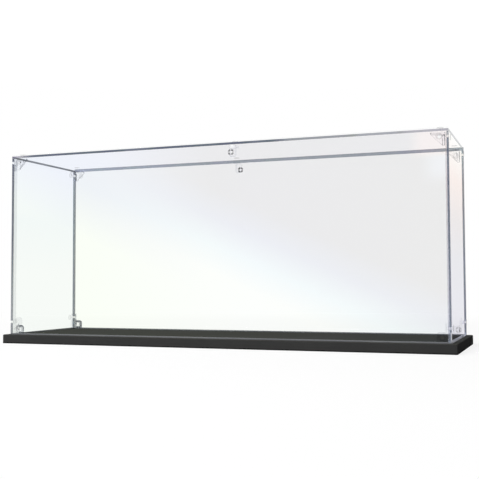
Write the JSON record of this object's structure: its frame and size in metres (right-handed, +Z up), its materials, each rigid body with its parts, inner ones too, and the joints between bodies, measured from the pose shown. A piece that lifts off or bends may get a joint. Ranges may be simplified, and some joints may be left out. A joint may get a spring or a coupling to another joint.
{
  "type": "display case",
  "caption": "Clear display case: a lift-off cover of flat sheets, pinned inside with clear connectors and push rivets, standing in the groove of a black base board.",
  "frame": {"origin": "middle of the base board's underside", "axes": "+X along the length to the right seen from the front, +Y from the front to the back, +Z up"},
  "size_m": [0.41, 0.12, 0.1759],
  "materials": {
    "base_black": "satin, finely textured",
    "clear_sheet": "clear, polished",
    "clear_moulding": "clear, moulded gloss",
    "clear_rivet": "clear, moulded gloss"
  },
  "bodies": {
    "base": {"base_board": "base_black"},
    "cover": {"front_panel": "clear_sheet", "back_panel": "clear_sheet", "left_panel": "clear_sheet", "right_panel": "clear_sheet", "top_panel": "clear_sheet", "corner_front_left": "clear_moulding", "corner_front_right": "clear_moulding", "corner_back_left": "clear_moulding", "corner_back_right": "clear_moulding", "top_clip_front": "clear_moulding", "top_clip_back": "clear_moulding", "foot_clip_front_left": "clear_moulding", "foot_clip_front_right": "clear_moulding", "foot_clip_back_left": "clear_moulding", "foot_clip_back_right": "clear_moulding", "front_rivets": "clear_rivet", "back_rivets": "clear_rivet", "left_rivets": "clear_rivet", "right_rivets": "clear_rivet", "top_rivets": "clear_rivet"}
  },
  "joints": [
    {"name": "cover_lift", "type": "slide", "parent": "base", "child": "cover", "axis": [0, 0, 1], "range_m": [0, 0.18]}
  ]
}
